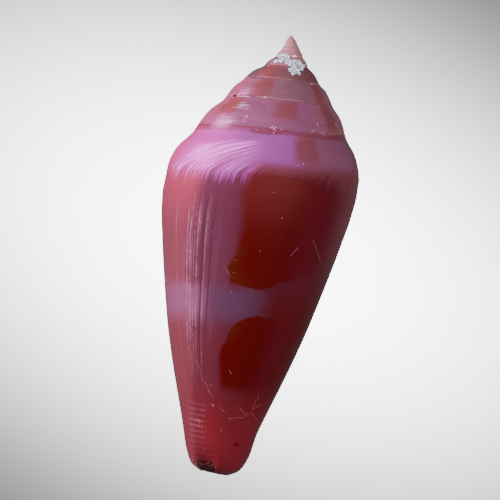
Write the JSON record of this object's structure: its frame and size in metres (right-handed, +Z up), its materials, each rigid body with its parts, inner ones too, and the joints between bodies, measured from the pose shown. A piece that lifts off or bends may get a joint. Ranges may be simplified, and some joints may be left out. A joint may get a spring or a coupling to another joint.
{
  "type": "cone shell",
  "caption": "Slender glossy cone-shaped sea snail shell with a stepped spire, lying on its long narrow opening.",
  "frame": {"origin": "middle of the shell's footprint, on the surface it lies on", "axes": "+Y from the front end towards the apex, +Z up, with the lip underneath on the -X side"},
  "size_m": [0.013, 0.0296, 0.0121],
  "materials": {
    "shell": "naturally glossy rose and maroon shell with brown blotches"
  },
  "bodies": {
    "root": {"shell": "shell"}
  },
  "joints": []
}
